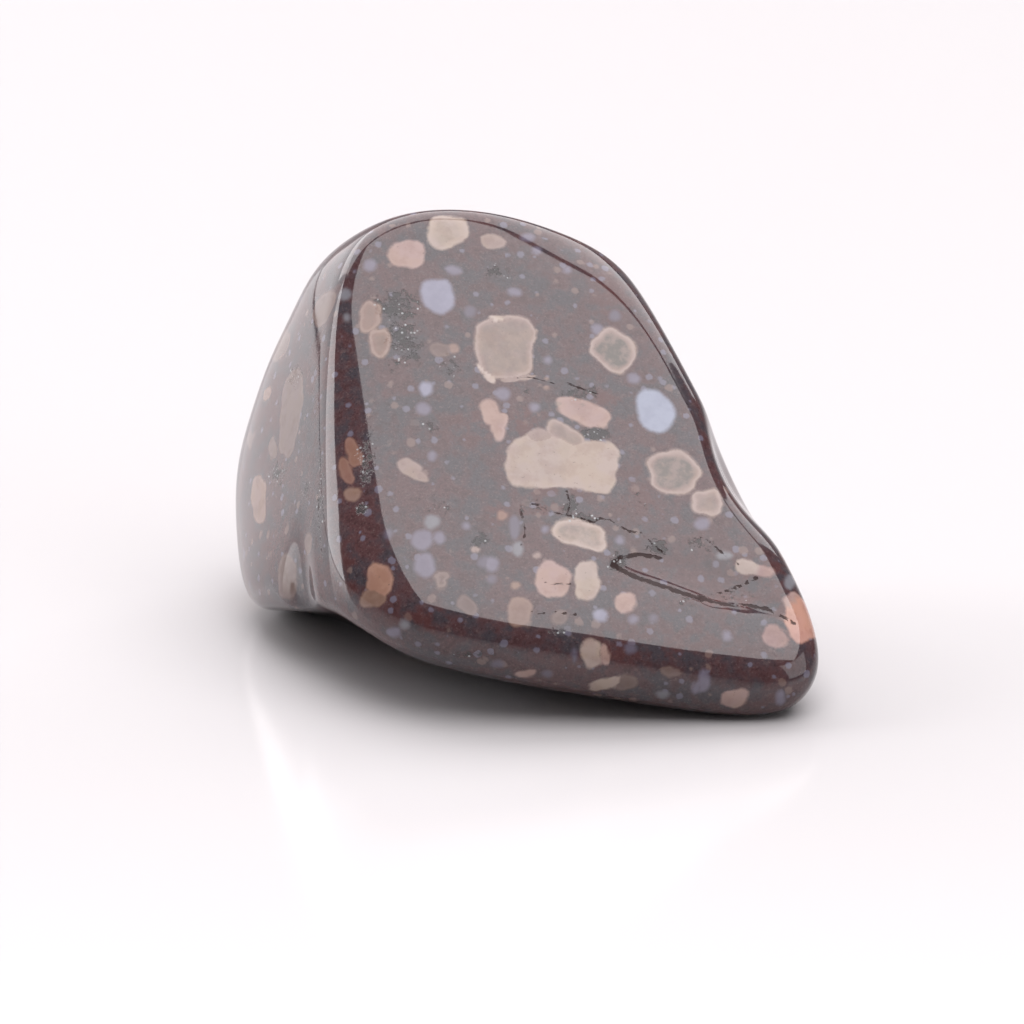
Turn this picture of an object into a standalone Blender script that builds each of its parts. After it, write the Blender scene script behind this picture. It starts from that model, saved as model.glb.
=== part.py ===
"""Tumbled and polished porphyry stone, modelled as one solid body.

The stone is a broken shard whose faces were ground smooth and whose edges were
rounded by tumbling. It is described as a set of ground faces, each a plane at
some distance from a point inside, joined by rounded edges. Hollows are round
bars taken out of that body. A cube of fine squares is blown up around the inner
point until every corner lies on the stone's skin.
"""

from math import cos, pi, radians, sin

import bmesh
import bpy
import numpy as np

# The model is in millimetres here and is turned into metres when the mesh is made.
METRE = 1000.0

# The stone is 40 mm wide, stands on the plane z = 0 and shows its large face to -Y.
MIDDLE = np.array([0.0, 0.0, 9.5])
REACH = 30.0

# Each ground face: the way it faces (degrees round from the front, + to the right),
# how far it looks upwards (degrees), its distance from the middle and the width of
# the rounding that joins it to the faces before it.
GROUND_FACES = (
    ("left", -80.0, 15.5, 17.35, 0.0),
    ("top left", -87.0, 46.0, 21.9, 8.0),
    ("top", -90.0, 80.0, 20.45, 5.0),
    ("back", 175.0, 4.0, 14.4, 9.0),
    ("top back", -174.0, 45.0, 22.5, 5.0),
    ("front", 15.0, 49.4, 7.8, 1.5),
    ("left rim", -60.0, 20.0, 15.3, 10.0),
    ("top right", 115.0, 57.0, 19.0, 5.0),
    ("right back", 105.0, 20.0, 14.8, 3.5),
    ("under front", -31.0, -70.0, 10.5, 4.0),
    ("lip", 2.0, -8.0, 16.2, 4.0),
    ("tip", 85.0, 0.0, 24.0, 6.5),
    ("lower left corner", -46.0, -25.0, 16.7, 7.0),
    ("left foot", -95.0, -23.0, 21.5, 6.0),
    ("under back", 150.0, -58.0, 13.2, 6.0),
    ("under tip", 100.0, -45.0, 18.6, 6.0),
    ("under left back", -150.0, -50.0, 18.5, 6.0),
)

# Each hollow: the two ends of a round bar, its radius and the rounding of its rim.
HOLLOWS = (
    ("valley on the left", (-19.0, -2.5, 21.0), (-16.0, -10.0, -1.0), 3.2, 1.0),
    ("hollow under the left", (-15.6, 1.0, -5.8), (-12.8, -9.4, -1.9), 7.5, 2.2),
    ("dip in the right edge", (22.4, -0.3, 16.8), (21.9, -12.3, 20.7), 9.2, 1.5),
    ("old chip near the tip", (9.33, -11.77, 12.35), (15.74, -11.92, 10.62), 3.5, 0.6),
    ("lower edge of the chip", (7.91, -11.07, 11.56), (13.58, -11.90, 9.56), 2.2, 0.25),
    ("end of the chip", (13.58, -11.90, 9.56), (17.61, -12.01, 8.62), 2.2, 0.25),
)

# Tumbling leaves a faint unevenness, and the resting spot is flat at z = 0.
WAVE_HEIGHT = 0.05
REST_ROUNDING = 1.2

# Squares along each side of the cube, and how much the front is favoured.
SQUARES = 28
FRONT_LEAN = 0.25

STONE_COLOUR = (0.150, 0.115, 0.110, 1.0)
POLISH_ROUGHNESS = 0.08


def facing(round_deg, up_deg):
    """Unit vector of a face, from its angle round from the front and its angle up."""
    level = cos(radians(up_deg))
    return np.array([
        sin(radians(round_deg)) * level,
        -cos(radians(round_deg)) * level,
        sin(radians(up_deg)),
    ])


def smooth_max(first, second, rounding):
    """The larger of two heights, with a rounded change-over of the given width."""
    larger = np.maximum(first, second)
    if rounding <= 0.0:
        return larger
    closeness = np.maximum(rounding - np.abs(first - second), 0.0) / rounding
    return larger + closeness ** 3 * rounding / 6.0


def bar_distance(points, start, end, radius):
    """Distance of the points from the skin of a round bar."""
    start = np.array(start)
    along = np.array(end) - start
    share = np.clip((points - start) @ along / (along @ along), 0.0, 1.0)
    nearest = start + share[:, None] * along
    return np.linalg.norm(points - nearest, axis=1) - radius


def height_over_stone(points):
    """Roughly the distance outside the stone's skin in mm, below zero inside."""
    height = None
    for _, round_deg, up_deg, distance, rounding in GROUND_FACES:
        face = (points - MIDDLE) @ facing(round_deg, up_deg) - distance
        height = face if height is None else smooth_max(height, face, rounding)
    for _, start, end, radius, rounding in HOLLOWS:
        bar = bar_distance(points, start, end, radius)
        height = smooth_max(height, -bar, rounding)
    x, y, z = points.T
    wave = np.sin(0.42 * x + 0.25 * z + 0.4) * np.sin(0.33 * y - 0.36 * z + 2.1)
    height = height + WAVE_HEIGHT * wave
    return smooth_max(height, -z, REST_ROUNDING)


def skin_points(directions):
    """Where the rays from the middle leave the stone, found by halving."""
    near = np.zeros(len(directions))
    far = np.full(len(directions), REACH)
    for _ in range(44):
        half = (near + far) / 2.0
        inside = height_over_stone(MIDDLE + directions * half[:, None]) < 0.0
        near = np.where(inside, half, near)
        far = np.where(inside, far, half)
    points = MIDDLE + directions * far[:, None]
    points[np.abs(points[:, 2]) < 1e-3, 2] = 0.0
    return points


def ray_directions(cube_points):
    """Even rays through the cube's corners, drawn a little towards the front face."""
    even = np.tan(cube_points * pi / 4.0)
    even /= np.linalg.norm(even, axis=1)[:, None]
    leaning = even + FRONT_LEAN * facing(15.0, 49.4)
    return leaning / np.linalg.norm(leaning, axis=1)[:, None]


def stone_material():
    material = bpy.data.materials.new("polished_porphyry")
    material.use_nodes = True
    shader = material.node_tree.nodes["Principled BSDF"]
    shader.inputs["Base Color"].default_value = STONE_COLOUR
    shader.inputs["Roughness"].default_value = POLISH_ROUGHNESS
    shader.inputs["Metallic"].default_value = 0.0
    material.diffuse_color = STONE_COLOUR
    return material


def make_stone():
    grid = bmesh.new()
    bmesh.ops.create_cube(grid, size=2.0)
    bmesh.ops.subdivide_edges(grid, edges=grid.edges, cuts=SQUARES - 1, use_grid_fill=True)
    corners = np.array([vertex.co for vertex in grid.verts])
    places = skin_points(ray_directions(corners)) / METRE
    for vertex, place in zip(grid.verts, places):
        vertex.co = place
    bmesh.ops.triangulate(grid, faces=grid.faces, quad_method="SHORT_EDGE")
    bmesh.ops.recalc_face_normals(grid, faces=grid.faces)
    mesh = bpy.data.meshes.new("stone")
    grid.to_mesh(mesh)
    grid.free()
    mesh.materials.append(stone_material())
    mesh.shade_smooth()
    stone = bpy.data.objects.new("stone", mesh)
    bpy.context.scene.collection.objects.link(stone)
    return stone


def main():
    for old in list(bpy.data.objects):
        bpy.data.objects.remove(old)
    stone = make_stone()
    corners = np.array([vertex.co for vertex in stone.data.vertices]) * METRE
    print("stone from", corners.min(axis=0).round(2), "to", corners.max(axis=0).round(2), "mm")
    print("triangles:", len(stone.data.polygons))


main()
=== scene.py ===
# %% [markdown]
# # A tumbled and polished porphyry stone
# This stone is a broken piece of porphyry: a fine dark paste of minerals, called the
# groundmass, with large crystals sitting in it like fruit in a cake. Pink and cream
# grains are feldspar, and milky blue ones are quartz. A tumbler ground its broken faces
# flat, rounded its edges and gave it a polish like glass.
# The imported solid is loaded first, because the fine skin made here has to lie on it.

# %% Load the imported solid
from math import cos, pi, radians, sin

import bpy
import numpy as np
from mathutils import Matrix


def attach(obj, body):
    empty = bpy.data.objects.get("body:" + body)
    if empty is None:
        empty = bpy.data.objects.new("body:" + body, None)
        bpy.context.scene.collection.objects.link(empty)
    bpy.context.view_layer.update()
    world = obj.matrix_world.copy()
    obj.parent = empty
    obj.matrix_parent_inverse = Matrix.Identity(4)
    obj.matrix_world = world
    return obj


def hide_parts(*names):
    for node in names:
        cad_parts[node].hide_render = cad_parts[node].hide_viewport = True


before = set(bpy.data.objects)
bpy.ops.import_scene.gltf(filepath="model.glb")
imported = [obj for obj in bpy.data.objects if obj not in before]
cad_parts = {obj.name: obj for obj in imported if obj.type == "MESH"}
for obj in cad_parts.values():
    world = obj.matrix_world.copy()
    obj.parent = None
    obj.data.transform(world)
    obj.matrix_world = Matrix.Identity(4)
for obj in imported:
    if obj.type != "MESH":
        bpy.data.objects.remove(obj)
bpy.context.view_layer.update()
METRE = 1000.0

# %% [markdown]
# ## The shape as a height over the skin
# A stone like this could be sculpted by hand, or scanned. Here it is a formula instead,
# because a formula gives the same stone at any fineness. Every ground face is a plane at
# some distance from a point inside. The largest of those distances is the height of a
# point over the stone, and a rounded maximum in place of a sharp one wears the edges
# down, exactly as tumbling does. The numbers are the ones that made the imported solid.

# %% Ground faces and hollows
MIDDLE = np.array([0.0, 0.0, 9.5])
WAVE_HEIGHT = 0.05
REST_ROUNDING = 1.2

# The large polished face: degrees round from the front and degrees up.
FRONT_TURN = 15.0
FRONT_RISE = 49.4

# Each face: degrees round from the front, degrees up, distance in mm, rounding in mm.
GROUND_FACES = (
    ("left", -80.0, 15.5, 17.35, 0.0),
    ("top left", -87.0, 46.0, 21.9, 8.0),
    ("top", -90.0, 80.0, 20.45, 5.0),
    ("back", 175.0, 4.0, 14.4, 9.0),
    ("top back", -174.0, 45.0, 22.5, 5.0),
    ("front", FRONT_TURN, FRONT_RISE, 7.8, 1.5),
    ("left rim", -60.0, 20.0, 15.3, 10.0),
    ("top right", 115.0, 57.0, 19.0, 5.0),
    ("right back", 105.0, 20.0, 14.8, 3.5),
    ("under front", -31.0, -70.0, 10.5, 4.0),
    ("lip", 2.0, -8.0, 16.2, 4.0),
    ("tip", 85.0, 0.0, 24.0, 6.5),
    ("lower left corner", -46.0, -25.0, 16.7, 7.0),
    ("left foot", -95.0, -23.0, 21.5, 6.0),
    ("under back", 150.0, -58.0, 13.2, 6.0),
    ("under tip", 100.0, -45.0, 18.6, 6.0),
    ("under left back", -150.0, -50.0, 18.5, 6.0),
)

# Each hollow: the two ends of a round bar, its radius and the rounding of its rim.
HOLLOWS = (
    ("valley on the left", (-19.0, -2.5, 21.0), (-16.0, -10.0, -1.0), 3.2, 1.0),
    ("hollow under the left", (-15.6, 1.0, -5.8), (-12.8, -9.4, -1.9), 7.5, 2.2),
    ("dip in the right edge", (22.4, -0.3, 16.8), (21.9, -12.3, 20.7), 9.2, 1.5),
    ("old chip near the tip", (9.33, -11.77, 12.35), (15.74, -11.92, 10.62), 3.5, 0.6),
    ("lower edge of the chip", (7.91, -11.07, 11.56), (13.58, -11.90, 9.56), 2.2, 0.25),
    ("end of the chip", (13.58, -11.90, 9.56), (17.61, -12.01, 8.62), 2.2, 0.25),
)


def facing(round_deg, up_deg):
    """Unit vector: sine and cosine of the turn, both times the cosine of the rise."""
    level = cos(radians(up_deg))
    return np.array([
        sin(radians(round_deg)) * level,
        -cos(radians(round_deg)) * level,
        sin(radians(up_deg)),
    ])


def smooth_max(first, second, rounding):
    """The larger height, plus the cube of how close the two are times a sixth of the rounding."""
    larger = np.maximum(first, second)
    if rounding <= 0.0:
        return larger
    closeness = np.maximum(rounding - np.abs(first - second), 0.0) / rounding
    return larger + closeness ** 3 * rounding / 6.0


def bar_distance(points, start, end, radius):
    """Distance to the nearest point of the line from start to end, less the radius."""
    start = np.array(start)
    along = np.array(end) - start
    share = np.clip((points - start) @ along / (along @ along), 0.0, 1.0)
    nearest = start + share[:, None] * along
    return np.linalg.norm(points - nearest, axis=1) - radius


def height_over_stone(points):
    """Rounded maximum of all face heights, of the hollows turned inside out, and of -z."""
    height = None
    for _, round_deg, up_deg, distance, rounding in GROUND_FACES:
        face = (points - MIDDLE) @ facing(round_deg, up_deg) - distance
        height = face if height is None else smooth_max(height, face, rounding)
    for _, start, end, radius, rounding in HOLLOWS:
        bar = bar_distance(points, start, end, radius)
        height = smooth_max(height, -bar, rounding)
    x, y, z = points.T
    wave = np.sin(0.42 * x + 0.25 * z + 0.4) * np.sin(0.33 * y - 0.36 * z + 2.1)
    return smooth_max(height + WAVE_HEIGHT * wave, -z, REST_ROUNDING)


print("ground faces:", len(GROUND_FACES), " hollows:", len(HOLLOWS))

# %% [markdown]
# ## Wrapping a grid around the stone
# A globe of longitude and latitude squares would pinch at its poles, and a pinch shows at
# once in a polished skin. A cube has no poles: its six square faces are cut into a fine
# grid, each grid corner becomes a ray from the middle, and the point where the ray leaves
# the stone is found by halving the stretch that holds it. Corners shared by two faces of
# the cube have the same whole numbers, so merging equal rows closes every seam.

# %% The closed grid of squares
SQUARES = 128
FRONT_LEAN = 0.25

# The rays are searched this far in mm, by so many halvings, and what ends up this close to
# the floor is laid on it.
REACH = 30.0
HALVINGS = 44
FLOOR_SNAP = 1e-3


def cube_grid(squares):
    """Whole-number corners of a cube's six gridded faces, merged, and the squares between them."""
    first, second = np.meshgrid(np.arange(squares + 1), np.arange(squares + 1), indexing="ij")
    flat = np.zeros_like(first)
    sheets = []
    for axis in range(3):
        for end in (0, squares):
            sheet = [None, None, None]
            sheet[axis] = flat + end
            # The far face runs the other way round, so that every square faces outwards.
            order = (first, second) if end else (second, first)
            sheet[(axis + 1) % 3], sheet[(axis + 2) % 3] = order
            sheets.append(np.stack(sheet, axis=-1).reshape(-1, 3))
    corners, place = np.unique(np.concatenate(sheets), axis=0, return_inverse=True)
    place = place.reshape(6, squares + 1, squares + 1)
    quads = np.stack(
        [place[:, :-1, :-1], place[:, 1:, :-1], place[:, 1:, 1:], place[:, :-1, 1:]], axis=-1
    )
    return corners, quads.reshape(-1, 4)


def skin_points(rays):
    """Where each ray leaves the stone: time after time, keep the half that holds the skin."""
    near = np.zeros(len(rays))
    far = np.full(len(rays), REACH)
    for _ in range(HALVINGS):
        half = (near + far) / 2.0
        inside = height_over_stone(MIDDLE + rays * half[:, None]) < 0.0
        near = np.where(inside, half, near)
        far = np.where(inside, far, half)
    points = MIDDLE + rays * far[:, None]
    points[np.abs(points[:, 2]) < FLOOR_SNAP, 2] = 0.0
    return points


lattice, squares_of_skin = cube_grid(SQUARES)
# The tangent spaces the rays by equal angles, and the lean gives the front face more of them.
rays = np.tan((lattice * 2.0 / SQUARES - 1.0) * pi / 4.0)
rays /= np.linalg.norm(rays, axis=1)[:, None]
rays += FRONT_LEAN * facing(FRONT_TURN, FRONT_RISE)
rays /= np.linalg.norm(rays, axis=1)[:, None]
skin = skin_points(rays)

stone_mesh = bpy.data.meshes.new("polished_stone")
stone_mesh.from_pydata((skin / METRE).tolist(), [], squares_of_skin.tolist())
stone_mesh.shade_smooth()
stone_mesh.update()
stone = bpy.data.objects.new("polished_stone", stone_mesh)
bpy.context.scene.collection.objects.link(stone)
print("skin corners:", len(skin), " squares:", len(squares_of_skin))

# %% [markdown]
# ## The camera
# A small stone is photographed from some way off with a long lens, which keeps its sides
# almost parallel. The camera stands in front of the stone and looks down by 20 degrees.
# It comes before the crystals, because they are placed where they are seen from here.

# %% Camera in front of the stone
PICTURE = 1024
TARGET = np.array([-0.32, 0.18, 9.86])
LOOK_DOWN = 20.0
CAMERA_DISTANCE = 420.0
LENS = 216.0
SENSOR = 36.0

toward_camera = facing(0.0, LOOK_DOWN)
camera_place = TARGET + CAMERA_DISTANCE * toward_camera
camera_right = np.array([1.0, 0.0, 0.0])
camera_up = np.array([0.0, sin(radians(LOOK_DOWN)), cos(radians(LOOK_DOWN))])

camera = bpy.data.objects.new("camera", bpy.data.cameras.new("camera"))
camera.data.lens = LENS
camera.data.sensor_width = SENSOR
camera.data.clip_start = 0.01
camera.location = camera_place / METRE
camera.rotation_euler = (radians(90.0 - LOOK_DOWN), 0.0, 0.0)
bpy.context.scene.collection.objects.link(camera)
bpy.context.scene.camera = camera

# %% [markdown]
# ## From a place in the picture to a place on the stone
# Each crystal is noted by the place in the square picture, 1024 points a side, where its
# middle is seen. The skin corners are projected into that picture with plain arithmetic:
# how far right and how far up a corner lies, divided by its distance from the camera.
# The nearest corner to the camera around the wanted place is the one that is seen.

# %% Where the skin is seen
# In mm, the step that the slope is measured over.
SLOPE_STEP = 0.01
# A corner that faces the camera less than this is seen edge on, and doesn't count as seen.
GRAZING = 0.02
# In picture points, how far around a place its corner is searched.
SEARCH_POINTS = 3.0
FAR_AWAY = 1e6


def skin_directions(points):
    """Slope of the height along x, y and z from two heights each, made one long."""
    slope = np.stack([
        height_over_stone(points + step) - height_over_stone(points - step)
        for step in np.eye(3) * SLOPE_STEP
    ], axis=1)
    return slope / np.linalg.norm(slope, axis=1)[:, None]


outward = skin_directions(skin)
from_camera = skin - camera_place
away = -(from_camera @ toward_camera)
points_per_slope = LENS / SENSOR * PICTURE
seen_across = PICTURE / 2.0 + points_per_slope * (from_camera @ camera_right) / away
seen_down = PICTURE / 2.0 - points_per_slope * (from_camera @ camera_up) / away
faces_camera = outward @ toward_camera > GRAZING
POINT = away.mean() / points_per_slope
print("one picture point is", round(POINT, 4), "mm; seen corners:", int(faces_camera.sum()))


def corner_at(across, down):
    """Of the corners facing the camera within 3 points of the place, the nearest to the camera."""
    off = np.hypot(seen_across - across, seen_down - down)
    off = np.where(faces_camera, off, FAR_AWAY)
    near = off < max(SEARCH_POINTS, off.min() + 0.5)
    return int(np.argmin(np.where(near, away, FAR_AWAY)))


# %% [markdown]
# ## Crystals in the skin
# A crystal is cut wherever the ground skin happens to pass through it, so it is made as a
# small solid and not as a painted spot: a rounded block, between an egg and a brick, with
# a wobble in its outline. For each corner of the skin, the depth inside the block is
# stored in mm. The material draws the border where that depth passes zero, as soft as the
# grain needs it, and has the depth at hand for pale rims and darker cores.

# %% The depth inside a crystal
FAR_OUTSIDE = -3.0
# The colour of corners that no crystal reaches, which never shows.
BARE_COLOUR = (0.3, 0.2, 0.15)


class Grains:
    """Depth, colour and core of the crystal that each corner of the skin lies in or nearest to."""

    def __init__(self, corners):
        self.depth = np.full(corners, FAR_OUTSIDE)
        self.colour = np.tile(np.array(BARE_COLOUR), (corners, 1))
        self.core = np.zeros(corners)
        self.count = 0

    def add(self, middle, axes, halves, squareness, wobble, colour, core):
        """Depth = length of the offset times (1 / reach - 1), where reach is the power sum of the
        three offsets over their half sizes, times one plus three sines of the angle."""
        close = np.flatnonzero(np.abs(skin - middle).max(axis=1) < 1.5 * max(halves) + 1.0)
        offset = skin[close] - middle
        parts = offset @ axes.T
        reach = (np.abs(parts / halves) ** squareness).sum(axis=1) ** (1.0 / squareness)
        angle = np.arctan2(parts[:, 1] / halves[1], parts[:, 0] / halves[0])
        bend = 0.04 * np.sin(2.0 * angle + wobble[0]) + 0.04 * np.sin(3.0 * angle + wobble[1])
        bend += 0.025 * np.sin(5.0 * angle + wobble[2])
        reach = np.maximum(reach * (1.0 + bend), 1e-6)
        depth = np.maximum(np.linalg.norm(offset, axis=1), 1e-4) * (1.0 / reach - 1.0)
        depth = np.minimum(depth, min(halves[0], halves[1]))
        deeper = depth > self.depth[close]
        won = close[deeper]
        self.depth[won] = depth[deeper]
        self.colour[won] = colour
        self.core[won] = core
        self.count += 1


chance = np.random.default_rng(24)
SIGHT_HALF = 2.6


def add_seen(grains, rows, sight_half=SIGHT_HALF):
    """Blocks whose outline is given as seen: middle, width and height in picture points, tilt."""
    for across, down, width, height, tilt, squareness, colour, core in rows:
        turn = radians(tilt)
        first = cos(turn) * camera_right + sin(turn) * camera_up
        second = cos(turn) * camera_up - sin(turn) * camera_right
        axes = np.stack([first, second, toward_camera])
        halves = np.array([width * POINT / 2.0, height * POINT / 2.0, sight_half])
        wobble = chance.uniform(0.0, 2.0 * pi, 3)
        middle = skin[corner_at(across, down)]
        grains.add(middle, axes, halves, squareness, wobble, np.array(colour), core)


# %% [markdown]
# ## Feldspar: the cream and pink blocks
# Feldspar grows in blocky crystals, so its cut faces are rounded squares and bars. Fresh
# grains are cream, weathered ones turn pink to salmon, and some have a grey-green middle
# where the mineral has begun to change. Large clumps are two or three blocks grown
# together, which here are simply blocks that overlap.

# %% Feldspar seen from the front
CREAM = (0.360, 0.284, 0.250)
BEIGE = (0.275, 0.205, 0.185)
PINK = (0.345, 0.236, 0.216)
ROSE = (0.270, 0.165, 0.155)
SALMON = (0.450, 0.250, 0.205)
RUST = (0.220, 0.122, 0.098)
CHALK = (0.450, 0.370, 0.330)
TAN = (0.225, 0.145, 0.120)
DULL = (0.145, 0.098, 0.090)
CLAY = (0.330, 0.195, 0.155)

# Across, down, width, height, tilt in degrees, squareness, colour, grey-green core.
FELDSPARS_SEEN = (
    (508, 346, 61, 62, 4, 4.0, BEIGE, 0.35),
    (514, 323, 46, 9, -17, 2.6, CHALK, 0.0),
    (489, 371, 24, 8, -48, 2.4, CHALK, 0.0),
    (520, 376, 34, 5, 8, 2.4, BEIGE, 0.0),
    (612, 348, 46, 40, -35, 2.8, BEIGE, 1.0),
    (543, 458, 70, 56, -4, 3.4, CREAM, 0.1),
    (588, 463, 62, 50, -8, 3.6, CREAM, 0.0),
    (566, 432, 44, 20, -32, 2.4, BEIGE, 0.3),
    (541, 437, 30, 20, 20, 2.4, BEIGE, 0.0),
    (585, 411, 58, 22, -18, 2.8, PINK, 0.1),
    (574, 404, 34, 14, -8, 2.4, BEIGE, 0.0),
    (493, 410, 19, 26, 8, 2.4, PINK, 0.0),
    (500, 424, 15, 28, -8, 2.4, PINK, 0.1),
    (581, 532, 52, 28, -13, 2.8, CREAM, 0.45),
    (553, 577, 35, 33, 0, 2.6, PINK, 0.0),
    (588, 580, 24, 38, -3, 3.4, CREAM, 0.1),
    (627, 602, 20, 18, 0, 2.2, PINK, 0.0),
    (675, 470, 52, 45, 12, 2.5, BEIGE, 0.9),
    (707, 500, 31, 28, 0, 2.4, BEIGE, 0.5),
    (407, 252, 38, 27, 10, 2.8, PINK, 0.0),
    (450, 231, 42, 32, 10, 2.6, CREAM, 0.2),
    (492, 241, 24, 17, 0, 2.4, BEIGE, 0.0),
    (441, 348, 20, 13, 0, 2.2, DULL, 0.0),
    (369, 314, 22, 32, -10, 2.4, TAN, 0.2),
    (380, 342, 22, 32, 5, 2.4, TAN, 0.3),
    (409, 466, 26, 16, -18, 2.2, BEIGE, 0.0),
    (418, 472, 22, 10, -30, 2.2, BEIGE, 0.0),
    (379, 578, 26, 32, -10, 2.6, CLAY, 0.0),
    (371, 600, 26, 20, 10, 2.4, TAN, 0.0),
    (353, 450, 15, 30, 15, 2.4, RUST, 0.0),
    (346, 470, 12, 26, 20, 2.4, RUST, 0.0),
    (349, 492, 18, 14, 0, 2.2, TAN, 0.0),
    (441, 579, 14, 18, 0, 2.6, DULL, 0.2),
    (468, 604, 15, 26, 48, 2.6, DULL, 0.0),
    (522, 612, 22, 30, 0, 2.6, TAN, 0.0),
    (515, 583, 11, 9, 0, 2.2, TAN, 0.0),
    (560, 618, 17, 14, 0, 2.2, DULL, 0.0),
    (593, 654, 20, 26, 5, 2.8, CREAM, 0.0),
    (607, 654, 9, 22, 8, 2.4, PINK, 0.0),
    (606, 686, 38, 11, 14, 2.4, CREAM, 0.0),
    (526, 676, 20, 7, 5, 2.2, PINK, 0.0),
    (737, 699, 27, 17, 10, 2.6, PINK, 0.0),
    (675, 672, 22, 9, -10, 2.2, DULL, 0.0),
    (745, 567, 22, 14, -12, 2.2, CREAM, 0.0),
    (768, 573, 18, 13, -20, 2.2, ROSE, 0.0),
    (776, 638, 25, 19, -15, 2.4, ROSE, 0.0),
    (801, 617, 30, 48, 14, 2.6, SALMON, 0.0),
    (793, 602, 16, 16, 0, 2.4, PINK, 0.0),
    (626, 684, 26, 16, 0, 2.2, DULL, 0.0),
    (549, 377, 6, 5, 0, 2.0, TAN, 0.0),
    (549, 385, 5, 4, 0, 2.0, TAN, 0.0),
    (479, 548, 9, 5, 0, 2.0, BEIGE, 0.0),
    (537, 553, 8, 5, 0, 2.0, BEIGE, 0.0),
    (454, 346, 9, 8, 0, 2.0, TAN, 0.0),
    (504, 513, 12, 12, 0, 2.0, RUST, 0.0),
)

# These lie on the left face, which is seen at a steep slant, so they reach deep.
FELDSPARS_LEFT = (
    (288, 412, 22, 92, -6, 2.6, DULL, 0.0),
    (279, 345, 16, 36, -20, 2.2, DULL, 0.0),
    (265, 393, 8, 14, -10, 2.2, TAN, 0.0),
    (257, 497, 16, 50, 4, 2.6, TAN, 0.0),
    (285, 577, 20, 44, 0, 2.4, DULL, 0.0),
    (322, 306, 18, 38, -25, 2.4, DULL, 0.0),
    (306, 545, 8, 20, 0, 2.2, DULL, 0.0),
    (270, 450, 10, 22, 0, 2.2, DULL, 0.0),
    (247, 440, 6, 20, 0, 2.2, DULL, 0.0),
)

feldspar = Grains(len(skin))
add_seen(feldspar, FELDSPARS_SEEN)
add_seen(feldspar, FELDSPARS_LEFT, sight_half=6.0)
print("feldspar seen:", feldspar.count)

# %% [markdown]
# ## Quartz: the milky blue eyes
# The quartz grains are rounder, because hot melt ate at their corners before the rock set.
# Light scatters inside them, which makes them look like watered milk with a blue cast and
# a soft border. Most are specks of half a millimetre, and two here are about 3 mm across.

# %% Quartz seen from the front
MILK = (0.295, 0.322, 0.410)
PALE = (0.250, 0.248, 0.322)
MIST = (0.170, 0.152, 0.200)
FROST = (0.190, 0.188, 0.208)
SMOKE = (0.122, 0.106, 0.140)

# The same columns as for feldspar.
QUARTZ_SEEN = (
    (438, 294, 33, 37, 8, 2.5, PALE, 0),
    (657, 409, 38, 50, 6, 2.1, MILK, 0),
    (428, 387, 14, 14, 0, 2, PALE, 0), (425, 407, 14, 13, 0, 2, MIST, 0),
    (433, 454, 9, 9, 0, 2, MIST, 0), (467, 524, 8, 7, 0, 2, MIST, 0),
    (432, 519, 16, 14, 0, 2, FROST, 0), (421, 537, 22, 20, 0, 2, MIST, 0),
    (441, 536, 12, 12, 0, 2, MIST, 0), (425, 563, 20, 26, 0, 2, MIST, 0),
    (372, 266, 14, 13, 0, 2, MIST, 0), (456, 270, 17, 10, -10, 2, MIST, 0),
    (471, 309, 12, 12, 0, 2, SMOKE, 0), (515, 293, 16, 8, -10, 2, MIST, 0),
    (505, 392, 15, 13, -20, 2, MIST, 0), (528, 236, 15, 9, 0, 2, MIST, 0),
    (536, 250, 10, 9, 0, 2, MIST, 0), (566, 268, 9, 8, 0, 2, MIST, 0),
    (549, 358, 8, 8, 0, 2, MIST, 0), (613, 315, 13, 11, 0, 2, SMOKE, 0),
    (596, 328, 12, 11, 0, 2, MIST, 0), (634, 377, 13, 11, 0, 2, MIST, 0),
    (537, 406, 11, 9, 0, 2, MIST, 0), (702, 522, 16, 12, 0, 2, MIST, 0),
    (725, 554, 17, 8, 0, 2, FROST, 0), (602, 614, 15, 12, 0, 2, PALE, 0),
    (635, 618, 10, 9, 0, 2, MIST, 0), (725, 635, 10, 10, 0, 2, MIST, 0),
    (792, 580, 11, 17, -20, 2, FROST, 0), (705, 682, 12, 22, 0, 2, MIST, 0),
    (696, 690, 10, 12, 0, 2, MIST, 0), (663, 696, 13, 8, 0, 2, FROST, 0),
    (780, 698, 10, 16, 0, 2, MIST, 0), (633, 649, 12, 10, 0, 2, SMOKE, 0),
    (346, 292, 14, 12, 0, 2, FROST, 0), (345, 316, 7, 8, 0, 2, FROST, 0),
    (402, 625, 10, 10, 0, 2, FROST, 0), (485, 560, 12, 12, 0, 2, SMOKE, 0),
    (387, 532, 9, 10, 0, 2, SMOKE, 0), (493, 562, 15, 15, 0, 2, MIST, 0),
    (493, 578, 10, 9, 0, 2, SMOKE, 0), (519, 547, 12, 14, 0, 2, FROST, 0),
    (546, 527, 7, 7, 0, 2, MIST, 0), (392, 634, 15, 10, 0, 2, MIST, 0),
    (620, 538, 9, 8, 0, 2, MIST, 0), (576, 657, 6, 15, 0, 2, SMOKE, 0),
    (547, 676, 10, 8, 0, 2, SMOKE, 0), (496, 666, 13, 8, 0, 2, SMOKE, 0),
    (516, 525, 10, 26, 0, 2, SMOKE, 0), (652, 616, 9, 8, 0, 2, SMOKE, 0),
)

quartz = Grains(len(skin))
add_seen(quartz, QUARTZ_SEEN, sight_half=1.6)
print("quartz seen:", quartz.count)

# %% [markdown]
# ## Grains on the sides that the picture doesn't show
# The rock is the same all through, so the back, the top and the underside get grains of
# the same kinds and sizes. A seeded random generator picks corners of the hidden skin,
# each by the share of the surface it stands for, and turns every block at random. A grain
# that would reach into the seen side is left out, so nothing there changes.

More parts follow.
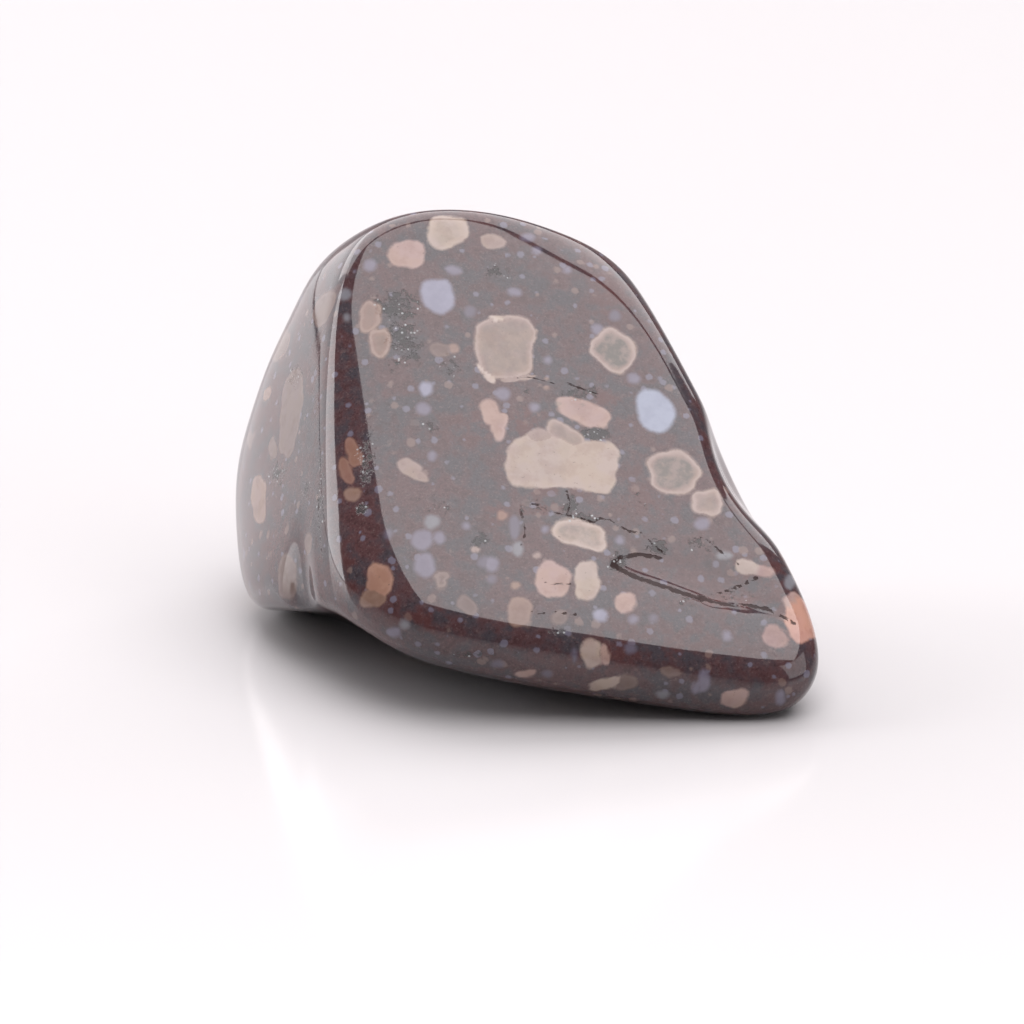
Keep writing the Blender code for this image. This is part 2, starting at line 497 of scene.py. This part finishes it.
# %% Grains scattered on the hidden sides
# Side of a cell in picture points, and how far in mm behind the nearest corner is still seen.
CELL = 8.0
CELLS_IN_A_ROW = 1000
BEHIND = 3.0
SAMPLE_STEP = 7

# A corner is seen when it faces the camera and nothing in its small cell of the picture is nearer.
cell = (seen_across // CELL).astype(int) * CELLS_IN_A_ROW + (seen_down // CELL).astype(int)
cell_names, cell_of = np.unique(cell, return_inverse=True)
nearest_in_cell = np.full(len(cell_names), FAR_AWAY)
np.minimum.at(nearest_in_cell, cell_of, away)
is_seen = faces_camera & (away < nearest_in_cell[cell_of] + BEHIND)

corner_a, corner_b, corner_c, corner_d = skin[squares_of_skin].transpose(1, 0, 2)
square_area = np.linalg.norm(np.cross(corner_c - corner_a, corner_d - corner_b), axis=1) / 2.0
corner_area = np.zeros(len(skin))
np.add.at(corner_area, squares_of_skin.ravel(), np.repeat(square_area / 4.0, 4))
hidden = np.flatnonzero(~is_seen)
hidden_share = corner_area[hidden] / corner_area[hidden].sum()
print("surface:", round(square_area.sum()), "mm2, hidden:", round(corner_area[hidden].sum()), "mm2")

seen_sample = skin[is_seen][::SAMPLE_STEP]


def random_axes():
    """Three unit vectors square to each other: the factors of a random matrix."""
    return np.linalg.qr(chance.normal(size=(3, 3)))[0]


def scatter(grains, count, smallest, largest, squareness, colours, cores):
    """Blocks with half sizes between the two limits, small ones more often, each sunk a little."""
    for corner in chance.choice(hidden, count, p=hidden_share):
        half = smallest * (largest / smallest) ** (chance.random() ** 1.6)
        halves = half * chance.uniform(0.7, 1.25, 3)
        middle = skin[corner] - outward[corner] * half * chance.uniform(0.0, 0.6)
        axes = random_axes()
        wobble = chance.uniform(0.0, 2.0 * pi, 3)
        colour = np.array(colours[chance.integers(len(colours))]) * chance.uniform(0.85, 1.1)
        core = chance.choice(cores)
        if np.linalg.norm(seen_sample - middle, axis=1).min() > half * 1.4 + 0.3:
            grains.add(middle, axes, halves, squareness, wobble, colour, core)


FELDSPAR_COLOURS = (CREAM, BEIGE, PINK, DULL, TAN, ROSE)
scatter(feldspar, 150, 0.45, 2.5, 3.0, FELDSPAR_COLOURS, (0.0, 0.0, 0.3, 0.8))
scatter(quartz, 380, 0.22, 1.3, 2.0, (MIST, MIST, FROST, SMOKE, PALE), (0.0,))
print("all feldspar:", feldspar.count, " all quartz:", quartz.count)

# %% [markdown]
# ## Fissures, sooty patches and painted shade
# Old cracks run between the grains. They are healed with iron and dark minerals, so they
# read as broken reddish-black threads, a little lower and rougher than the polish around
# them. Where threads run down the crease by the left rim and along the edges of the old
# chip, their dark is painted shade, over a real dark line at the chip. Beside some of them
# the paste is stained or holds dark ore, whose glints are painted on as pale specks, and a
# few dark patches in the crease and along the chip are painted shade. Both are stored on
# the skin too: the distance from the nearest thread, and how strongly a patch is stained.

# %% Fissures
# Each thread: its half width in mm, then the places in the picture that it runs through.
FISSURES_AND_SHADE_LINES_SEEN = (
    (0.04, ((568, 380), (575, 384), (586, 388), (599, 393))),
    (0.01, ((520, 377), (531, 376), (545, 379), (556, 382))),
    (0.03, ((526, 500), (539, 503), (550, 509), (562, 512), (578, 515), (594, 520), (601, 516))),
    (0.03, ((601, 516), (611, 518), (620, 524), (632, 530), (642, 531), (652, 541), (664, 551))),
    (0.02, ((568, 489), (571, 500), (568, 512))),
    (0.03, ((700, 535), (708, 538), (716, 546), (724, 554), (738, 562))),
    (0.04, ((554, 609), (565, 611), (577, 614))),
    (0.02, ((533, 611), (540, 612), (547, 613))),
    (0.01, ((521, 508), (525, 520), (527, 533), (522, 543))),
    (0.03, ((545, 580), (556, 583), (571, 583))),
    # This thread runs down the crease between the left face and the rim: painted shade in that
    # crease.
    (0.01, ((318, 470), (316, 500), (318, 540), (322, 565))),
    # These five follow the edges of the old chip near the tip: a real dark line, darkened further
    # with painted shade where the chip's wall lies in shadow and mirrors the dark room.
    (0.17, ((612, 562), (630, 572), (650, 580), (683, 592), (703, 598))),
    (0.13, ((703, 598), (727, 605), (752, 607), (770, 611))),
    (0.09, ((770, 611), (782, 618), (793, 625))),
    (0.10, ((612, 560), (622, 555), (640, 552), (662, 556))),
    (0.08, ((700, 594), (722, 592), (742, 586), (756, 578))),
)
THREAD_REACH = 3.0
HIDDEN_FISSURES = 26

thread = np.full(len(skin), THREAD_REACH)
for half_width, places in FISSURES_AND_SHADE_LINES_SEEN:
    stops = [skin[corner_at(across, down)] for across, down in places]
    for start, end in zip(stops[:-1], stops[1:]):
        thread = np.minimum(thread, bar_distance(skin, start, end, half_width))

# A hidden fissure is a thin wavy sheet inside a ball: how far the sheet is, or the ball's edge.
for corner in chance.choice(hidden, HIDDEN_FISSURES, p=hidden_share):
    middle = skin[corner]
    across_thread = np.cross(outward[corner], chance.normal(size=3))
    across_thread /= np.linalg.norm(across_thread)
    along_thread = np.cross(outward[corner], across_thread)
    length_half = chance.uniform(1.0, 4.5)
    half_width = chance.uniform(0.02, 0.07)
    phase = chance.uniform(0.0, 2.0 * pi)
    if np.linalg.norm(seen_sample - middle, axis=1).min() > length_half + 0.5:
        offset = skin - middle
        bend = 0.35 * np.sin(offset @ along_thread * 1.3 + phase)
        sheet = np.abs(offset @ across_thread + bend) - half_width
        ball = np.linalg.norm(offset, axis=1) - length_half
        thread = np.minimum(thread, np.maximum(sheet, ball))
print("corners on a thread:", int((thread < 0.0).sum()))

# %% Stained and sooty patches, a few of them painted shade
# Across, down, width and height in picture points, and strength.
# Most dark patches are sooty paste. The one at 318 across runs down the crease by the left rim, and
# the two at 690 and 738 across follow the chip's lower edge: these are painted shade.
DARK_PATCHES = (
    (397, 305, 50, 36, 0.9), (402, 333, 40, 34, 0.9), (411, 352, 30, 26, 0.8),
    (450, 362, 24, 30, 0.6), (497, 271, 34, 22, 0.6), (596, 431, 38, 16, 1.0),
    (583, 392, 44, 20, 0.8), (395, 362, 20, 26, 0.5), (482, 538, 20, 18, 0.8),
    (572, 505, 18, 28, 0.8), (582, 516, 36, 12, 0.9), (536, 504, 34, 14, 0.6),
    (660, 545, 26, 18, 0.9), (618, 562, 22, 22, 1.0), (366, 452, 22, 80, 0.7),
    (362, 508, 14, 18, 1.0), (440, 500, 40, 30, 0.4), (560, 631, 20, 9, 0.8),
    (274, 472, 24, 24, 0.9), (292, 376, 20, 26, 0.7), (303, 490, 16, 22, 0.6),
    (318, 500, 10, 120, 0.6), (700, 545, 30, 20, 0.6), (531, 391, 18, 16, 0.5),
    (690, 600, 40, 14, 0.5), (738, 594, 40, 16, 0.5), (640, 500, 40, 30, 0.3),
    (470, 655, 60, 10, 0.5), (780, 640, 20, 60, 0.2), (430, 425, 26, 18, 0.6),
)
RED_PATCHES = (
    (530, 420, 36, 34, 0.8), (500, 512, 24, 26, 0.8), (545, 506, 44, 20, 0.9),
    (470, 425, 60, 50, 0.4), (600, 395, 60, 20, 0.6), (560, 488, 80, 16, 0.6),
    (755, 572, 60, 24, 0.8), (728, 600, 70, 18, 0.9), (640, 490, 60, 60, 0.4),
    (790, 600, 40, 60, 0.6), (670, 640, 160, 40, 0.3), (420, 620, 60, 30, 0.5),
    (345, 577, 26, 70, 0.5), (600, 660, 60, 30, 0.5), (610, 300, 40, 60, 0.4),
    (270, 400, 70, 260, 0.3), (258, 540, 50, 120, 0.3),
)

# A patch fades to nothing at 0.62 of its width from the middle, and at 4 mm towards the camera.
PATCH_SPREAD = 0.62
PATCH_DEPTH = 4.0
HIDDEN_DARK = 70
HIDDEN_RED = 50


def patch_field(rows):
    """Strength times one less the squared offset over the half sizes, of the strongest patch."""
    field = np.zeros(len(skin))
    for across, down, width, height, strength in rows:
        offset = skin - skin[corner_at(across, down)]
        reach = (offset @ camera_right / (width * POINT * PATCH_SPREAD)) ** 2
        reach += (offset @ camera_up / (height * POINT * PATCH_SPREAD)) ** 2
        reach += (offset @ toward_camera / PATCH_DEPTH) ** 2
        field = np.maximum(field, strength * np.clip(1.0 - reach, 0.0, 1.0))
    return field


dark_patch = patch_field(DARK_PATCHES)
red_patch = patch_field(RED_PATCHES)
for field, count in ((dark_patch, HIDDEN_DARK), (red_patch, HIDDEN_RED)):
    for corner in chance.choice(hidden, count, p=hidden_share):
        size = chance.uniform(0.6, 2.4)
        strength = chance.uniform(0.4, 1.0)
        far_off = np.linalg.norm(skin - skin[corner], axis=1) / size
        here = strength * np.clip(1.0 - far_off ** 2, 0.0, 1.0)
        field[:] = np.maximum(field, np.where(is_seen, 0.0, here))
print("stained share:", round(float((dark_patch > 0.2).mean()), 3))

# %% [markdown]
# ## Storing the fields on the mesh
# A mesh can carry any number of named values for each of its corners, called attributes.
# The material reads them by name. Blender blends them across each square, and since a
# depth in mm is a smooth field, the border where it passes zero is finer than the grid.

# %% Attributes
def store(name, values):
    """One number for each corner of the skin."""
    attribute = stone_mesh.attributes.new(name, "FLOAT", "POINT")
    attribute.data.foreach_set("value", values.astype(np.float32))


def store_colour(name, colours):
    """Red, green and blue for each corner, with a full fourth value."""
    attribute = stone_mesh.attributes.new(name, "FLOAT_COLOR", "POINT")
    full = np.concatenate([colours, np.ones((len(colours), 1))], axis=1)
    attribute.data.foreach_set("color", full.astype(np.float32).ravel())


store("feldspar_depth", feldspar.depth)
store("feldspar_core", feldspar.core)
store_colour("feldspar_colour", feldspar.colour)
store("quartz_depth", quartz.depth)
store_colour("quartz_colour", quartz.colour)
store("thread_and_shade_distance", thread)
store("dark_patch", dark_patch)
store("red_patch", red_patch)
print("attributes:", [a.name for a in stone_mesh.attributes if not a.name.startswith(".")])

# %% [markdown]
# ## The material, part by part
# The material is built in layers, as the rock is: paste first, then quartz, feldspar and
# threads over it, then one polish over all. A few short helpers keep the node tree
# readable: each adds a node, links its inputs and gives back its output.

# %% Helpers for the node tree
material = bpy.data.materials.new("polished_porphyry")
material.use_nodes = True
tree = material.node_tree
surface = tree.nodes["Principled BSDF"]


def plug(value, socket):
    """Links an output, or sets a plain number or colour."""
    if isinstance(value, bpy.types.NodeSocket):
        tree.links.new(value, socket)
    else:
        socket.default_value = value


def attribute(name, output="Fac"):
    """A value that the skin carries, as a number or as a colour."""
    node = tree.nodes.new("ShaderNodeAttribute")
    node.attribute_name = name
    return node.outputs[output]


def maths(operation, first, second, clamp=False):
    """One sum, difference or product, held between 0 and 1 if clamped."""
    node = tree.nodes.new("ShaderNodeMath")
    node.operation = operation
    node.use_clamp = clamp
    plug(first, node.inputs[0])
    plug(second, node.inputs[1])
    return node.outputs[0]


def step(value, low, high, to_low=0.0, to_high=1.0):
    """Smooth climb from to_low to to_high while the value goes from low to high."""
    node = tree.nodes.new("ShaderNodeMapRange")
    node.interpolation_type = "SMOOTHSTEP"
    plug(value, node.inputs["Value"])
    plug(low, node.inputs["From Min"])
    plug(high, node.inputs["From Max"])
    plug(to_low, node.inputs["To Min"])
    plug(to_high, node.inputs["To Max"])
    return node.outputs["Result"]


def blend(share, first, second, mode="MIX"):
    """The first colour, with the given share of the second laid or multiplied over it."""
    node = tree.nodes.new("ShaderNodeMix")
    node.data_type = "RGBA"
    node.blend_type = mode
    plug(share, node.inputs["Factor"])
    plug(first, node.inputs["A"])
    plug(second, node.inputs["B"])
    return node.outputs["Result"]


coordinates = tree.nodes.new("ShaderNodeTexCoord").outputs["Object"]


def cloud(size_mm, detail=2.0, roughness=0.5):
    """Soft noise between 0 and 1 with blobs of about the given size."""
    node = tree.nodes.new("ShaderNodeTexNoise")
    plug(coordinates, node.inputs["Vector"])
    node.inputs["Scale"].default_value = METRE / size_mm
    node.inputs["Detail"].default_value = detail
    node.inputs["Roughness"].default_value = roughness
    return node.outputs["Fac"]


def specks(size_mm, output="Distance"):
    """Cells of about the given size: distance to the cell's middle, or its own random colour."""
    node = tree.nodes.new("ShaderNodeTexVoronoi")
    plug(coordinates, node.inputs["Vector"])
    node.inputs["Scale"].default_value = METRE / size_mm
    return node.outputs[output]


# %% [markdown]
# ### Groundmass
# The paste looks plain from far off, but is a felt of crystals too small to tell apart:
# mauve brown and grey flecks of a tenth to half a millimetre, in wandering clouds some
# millimetres across. Noise of four sizes gives that, none of it strong. Two honeycombs of
# small round spots then add the grains that are too many to list one by one: bluish quartz
# eyes and dull pink feldspar chips, each with the random colour of its cell as its lot.

# %% Groundmass
BROWN = (0.086, 0.043, 0.045, 1.0)
GREY = (0.052, 0.045, 0.053, 1.0)
DARK_BROWN = (0.031, 0.0165, 0.018, 1.0)
LIGHT_FLECK = (0.142, 0.098, 0.095, 1.0)
RED_STAIN = (0.105, 0.034, 0.030, 1.0)
# The sooty colour: real dark paste, and painted shade where its patches follow the crease by the
# left rim and the chip's lower edge.
SOOT_AND_PAINTED_SHADE = (0.020, 0.0195, 0.020, 1.0)
SMALL_QUARTZ = (0.150, 0.140, 0.185, 1.0)
SMALL_FELDSPAR = (0.190, 0.130, 0.115, 1.0)

wide = cloud(4.0, 2.0, 0.55)
middle_size = cloud(1.0, 3.0, 0.6)
small = cloud(0.45, 3.0, 0.6)
fine = cloud(0.16, 2.0, 0.6)
tint = maths("ADD", maths("MULTIPLY", wide, 0.5), maths("MULTIPLY", middle_size, 0.5))
paste = blend(step(tint, 0.38, 0.60), GREY, BROWN)
paste = blend(step(middle_size, 0.52, 0.72, 0.0, 0.45), paste, DARK_BROWN)
paste = blend(step(small, 0.50, 0.75, 0.0, 0.50), paste, DARK_BROWN)
paste = blend(step(small, 0.28, 0.44, 0.30, 0.0), paste, LIGHT_FLECK)
paste = blend(step(fine, 0.54, 0.76, 0.0, 0.60), paste, DARK_BROWN)
paste = blend(step(fine, 0.26, 0.44, 0.48, 0.0), paste, LIGHT_FLECK)


def spots(size_mm, largest, share, strength):
    """Strength inside round spots, for the given share of the cells, each of its own size."""
    lot = tree.nodes.new("ShaderNodeSeparateColor")
    plug(specks(size_mm, "Color"), lot.inputs["Color"])
    edge = step(lot.outputs["Green"], 0.0, 1.0, largest * 0.35, largest)
    ragged_distance = maths("ADD", specks(size_mm), step(small, 0.2, 0.8, -0.07, 0.07))
    inside = step(maths("SUBTRACT", ragged_distance, edge), -0.08, 0.06, strength, 0.0)
    return maths("MULTIPLY", inside, step(lot.outputs["Red"], share, share + 0.01, 1.0, 0.0))


paste = blend(spots(0.95, 0.30, 0.55, 0.75), paste, SMALL_QUARTZ)
paste = blend(spots(1.25, 0.26, 0.50, 0.65), paste, SMALL_FELDSPAR)

red = maths("MULTIPLY", attribute("red_patch"), step(middle_size, 0.36, 0.64), clamp=True)
paste = blend(maths("MULTIPLY", red, 0.75), paste, RED_STAIN)
# Sooty patches broken up by noise: mostly dark ore and stain, and painted shade in the crease and
# along the chip.
soot_and_shade_noise = maths("MULTIPLY", cloud(0.50, 5.0, 0.75), 3.4)
soot_and_shade_ragged = maths("ADD", attribute("dark_patch"), soot_and_shade_noise)
soot_and_shade = step(soot_and_shade_ragged, 2.22, 2.54, 0.0, 0.84)
soot_and_shade = maths("MULTIPLY", soot_and_shade, step(attribute("dark_patch"), 0.02, 0.20))
paste = blend(soot_and_shade, paste, SOOT_AND_PAINTED_SHADE)

# %% [markdown]
# ### Quartz and feldspar over the paste
# The quartz border is soft, almost half a millimetre wide, as light leaks out of the
# grain. The feldspar border is a little sharper, and two weak noises on its depth keep it
# from being a drawn curve. A pale rim, a clouded middle and a grey-green core follow the
# same depth.

# %% Quartz and feldspar
QUARTZ_CLOUD = (0.62, 0.62, 0.66, 1.0)
FELDSPAR_CLOUD = (0.72, 0.62, 0.60, 1.0)
YELLOW_CAST = (1.0, 0.98, 0.80, 1.0)
PALE_RIM = (0.470, 0.375, 0.340, 1.0)
GREY_GREEN = (0.120, 0.110, 0.098, 1.0)
GRAIN_FLAW = (0.12, 0.085, 0.075, 1.0)

quartz_ragged = maths("ADD", attribute("quartz_depth"), step(small, 0.2, 0.8, -0.05, 0.05))
quartz_share = step(quartz_ragged, -0.20, 0.24, 0.0, 0.95)
milk = attribute("quartz_colour", "Color")
milk = blend(step(middle_size, 0.35, 0.70, 0.0, 0.30), milk, QUARTZ_CLOUD, "MULTIPLY")
rock = blend(quartz_share, paste, milk)

ragged = maths("ADD", attribute("feldspar_depth"), step(small, 0.25, 0.75, -0.05, 0.05))
ragged = maths("ADD", ragged, step(cloud(1.1, 0.0, 0.5), 0.3, 0.7, -0.09, 0.09))
feldspar_share = step(ragged, -0.15, 0.14, 0.0, 0.95)
grain = attribute("feldspar_colour", "Color")
clouded = step(cloud(1.3, 3.0, 0.6), 0.44, 0.66, 0.0, 0.45)
grain = blend(clouded, grain, FELDSPAR_CLOUD, "MULTIPLY")
yellowed = step(cloud(1.9, 2.0, 0.5), 0.42, 0.62, 0.0, 0.40)
grain = blend(yellowed, grain, YELLOW_CAST, "MULTIPLY")
rim = maths("MULTIPLY", step(ragged, 0.02, 0.12), step(ragged, 0.16, 0.40, 1.0, 0.0))
zoned = step(attribute("feldspar_core"), 0.0, 0.5, 0.05, 0.38)
grain = blend(maths("MULTIPLY", rim, zoned), grain, PALE_RIM)
core = maths("MULTIPLY", attribute("feldspar_core"), step(ragged, 0.32, 0.70))
core = maths("MULTIPLY", core, step(cloud(0.8, 3.0, 0.6), 0.34, 0.62, 0.35, 1.0))
grain = blend(core, grain, GREY_GREEN)
grain = blend(step(cloud(0.26, 2.0, 0.6), 0.64, 0.80, 0.0, 0.55), grain, GRAIN_FLAW)
rock = blend(feldspar_share, rock, grain)

# %% [markdown]
# ### Threads and painted glints
# The fissures are broken up by noise, so that they come and go; where they follow the crease
# by the left rim and the edge of the chip, their dark is painted shade. In the sooty patches,
# a few cells of a fine honeycomb are picked by their random colour and made pale: these are
# painted glints, pale colour standing in for the lamp thrown back by faces of ore grains.

# %% Threads, painted shade lines and painted glints
# Dark fissure filling; where the threads follow the crease and the chip, this is painted shade.
THREAD_AND_PAINTED_SHADE_COLOUR = (0.026, 0.012, 0.011, 1.0)
# Pale painted glints: lamp light thrown back by ore faces, painted into the colour.
PAINTED_GLINT = (0.40, 0.42, 0.43, 1.0)

thread_and_shade_ragged = maths("ADD", attribute("thread_and_shade_distance"), step(small, 0.3, 0.7, -0.05, 0.07))
thread_and_shade_share = step(thread_and_shade_ragged, -0.02, 0.07, 0.85, 0.0)
rock = blend(thread_and_shade_share, rock, THREAD_AND_PAINTED_SHADE_COLOUR)

picked = tree.nodes.new("ShaderNodeSeparateColor")
plug(specks(0.21, "Color"), picked.inputs["Color"])
ore_noise = maths("MULTIPLY", cloud(0.8, 3.0, 0.7), 1.5)
near_soot = step(maths("ADD", attribute("dark_patch"), ore_noise), 1.08, 1.30)
painted_glint = maths("MULTIPLY", step(picked.outputs["Red"], 0.85, 0.98), near_soot)
painted_glint = maths("MULTIPLY", painted_glint, step(specks(0.21), 0.20, 0.55, 0.9, 0.0))
rock = blend(painted_glint, rock, PAINTED_GLINT)
plug(rock, surface.inputs["Base Color"])

# %% [markdown]
# ### The polish
# Polished stone is a bare dielectric: no metal, no lacquer. All its gloss is the faint
# mirror of its own surface, with an index of 1.54. The hard grains take a better polish
# than the sooty bits, and the threads are rough little grooves that scatter the lamps'
# mirror image and so look dark. Roughness and bump follow the same fields as the colour.

# %% Polish and relief
POLISH_INDEX = 1.54
SOOT_ROUGHNESS = 0.34
THREAD_ROUGHNESS = 0.85

# Heights in mm.
THREAD_HEIGHT = -0.035
SOOT_HEIGHT = -0.02
POLISH_WAVE = 0.004

roughness = step(middle_size, 0.3, 0.7, 0.035, 0.075)
roughness = maths("ADD", roughness, maths("MULTIPLY", soot_and_shade, SOOT_ROUGHNESS))
roughness = maths("ADD", roughness, maths("MULTIPLY", thread_and_shade_share, THREAD_ROUGHNESS), clamp=True)
plug(roughness, surface.inputs["Roughness"])
surface.inputs["IOR"].default_value = POLISH_INDEX
surface.inputs["Metallic"].default_value = 0.0

relief = maths("MULTIPLY", thread_and_shade_share, THREAD_HEIGHT)
pits = maths("MULTIPLY", soot_and_shade, cloud(0.18, 2.0))
relief = maths("ADD", relief, maths("MULTIPLY", pits, SOOT_HEIGHT))
relief = maths("ADD", relief, maths("MULTIPLY", cloud(1.8, 2.0), POLISH_WAVE))
bump = tree.nodes.new("ShaderNodeBump")
bump.inputs["Distance"].default_value = 1.0 / METRE
bump.inputs["Strength"].default_value = 1.0
plug(relief, bump.inputs["Height"])
plug(bump.outputs["Normal"], surface.inputs["Normal"])

stone_mesh.materials.append(material)
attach(stone, "root")
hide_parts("stone")
print("nodes in the material:", len(tree.nodes))

# %% [markdown]
# ## The board under the stone
# The stone lies on a smooth white board that bends up at its far end, out of view. One
# sheet does both: flat, then a quarter circle, then upright. The board has a faint gloss
# of its own, which gives the weak mirror image under the stone.

# %% White board
BOARD_FRONT = -1.8
BOARD_BEND = 1.2
BEND_RADIUS = 0.25
BOARD_TOP = 0.6
BOARD_HALF_WIDTH = 1.8
BEND_STEPS = 25
BOARD_WHITE = (0.535, 0.525, 0.532, 1.0)
BOARD_ROUGHNESS = 0.14
BOARD_GLOSS = 0.20

bend_angle = np.linspace(0.0, pi / 2.0, BEND_STEPS)
bend_y = BOARD_BEND + BEND_RADIUS * np.sin(bend_angle)
bend_z = BEND_RADIUS * (1.0 - np.cos(bend_angle))
profile_y = np.concatenate([[BOARD_FRONT], bend_y, [BOARD_BEND + BEND_RADIUS]])
profile_z = np.concatenate([[0.0], bend_z, [BOARD_TOP]])
sides = np.array([-BOARD_HALF_WIDTH, BOARD_HALF_WIDTH])
across, row = np.meshgrid(sides, np.arange(len(profile_y)), indexing="ij")
sheet = np.stack([across, profile_y[row], profile_z[row]], axis=-1).reshape(-1, 3)
number = np.arange(len(sheet)).reshape(2, -1)
strips = np.stack([number[0, :-1], number[1, :-1], number[1, 1:], number[0, 1:]], axis=-1)
board_mesh = bpy.data.meshes.new("white_board")
board_mesh.from_pydata(sheet.tolist(), [], strips.tolist())
board_mesh.shade_smooth()
board = bpy.data.objects.new("white_board", board_mesh)
bpy.context.scene.collection.objects.link(board)

board_material = bpy.data.materials.new("white_board")
board_material.use_nodes = True
board_surface = board_material.node_tree.nodes["Principled BSDF"]
board_surface.inputs["Base Color"].default_value = BOARD_WHITE
board_surface.inputs["Roughness"].default_value = BOARD_ROUGHNESS
board_surface.inputs["Specular IOR Level"].default_value = BOARD_GLOSS
board_mesh.materials.append(board_material)

# %% [markdown]
# ## The lamps
# A polished thing is lit by what it mirrors, so the lamps are large soft sheets and their
# places are chosen by the bands they leave on the stone. One hangs overhead and towards
# the camera: its mirror image fills the front face and lays a grey veil over it. Two stand
# upright on the left: the near, narrow one whitens the rim, and the far, weaker one greys
# the left face. One leans in from behind and edges the top, and a weak one at the front
# right greys the tip. Between them is dark room, and where the rounded edges reflect that,
# the stone shows its own deep brown. A sheet's brightness is its power over pi times its
# area, so the power is worked out from the brightness that is wanted.

# %% Lamps and room
LAMP_TINT = (1.0, 0.965, 0.975)
DIM_ROOM = (0.03, 0.028, 0.03, 1.0)

# Name, middle in metres, width, height, degrees turned about x, y and z, brightness.
LAMPS = (
    ("overhead_lamp", (0.32, -0.37, 1.20), 1.60, 1.18, (0.0, 0.0, 0.0), 3.55),
    ("left_lamp", (-0.917, 0.177, 0.41), 0.36, 0.80, (90.0, 0.0, -104.0), 5.6),
    ("far_left_lamp", (-0.729, 0.938, 0.41), 1.20, 0.80, (90.0, 0.0, -104.0), 2.1),
    ("rear_lamp", (-0.10, 0.575, 0.825), 1.90, 0.93, (-54.0, 0.0, 0.0), 3.3),
    ("front_right_lamp", (0.91, -0.64, 0.45), 0.86, 0.72, (68.0, 0.0, 55.0), 1.7),
)

for name, middle, width, height, turned, brightness in LAMPS:
    lamp = bpy.data.objects.new(name, bpy.data.lights.new(name, "AREA"))
    lamp.data.shape = "RECTANGLE"
    lamp.data.color = LAMP_TINT
    lamp.data.size = width
    lamp.data.size_y = height
    lamp.data.energy = brightness * pi * width * height
    lamp.location = middle
    lamp.rotation_euler = [radians(degrees) for degrees in turned]
    bpy.context.scene.collection.objects.link(lamp)
    print(name, round(lamp.data.energy, 1), "W")

world = bpy.data.worlds.new("dim_room")
world.use_nodes = True
world.node_tree.nodes["Background"].inputs["Color"].default_value = DIM_ROOM
bpy.context.scene.world = world
bpy.context.scene.view_settings.view_transform = "Standard"
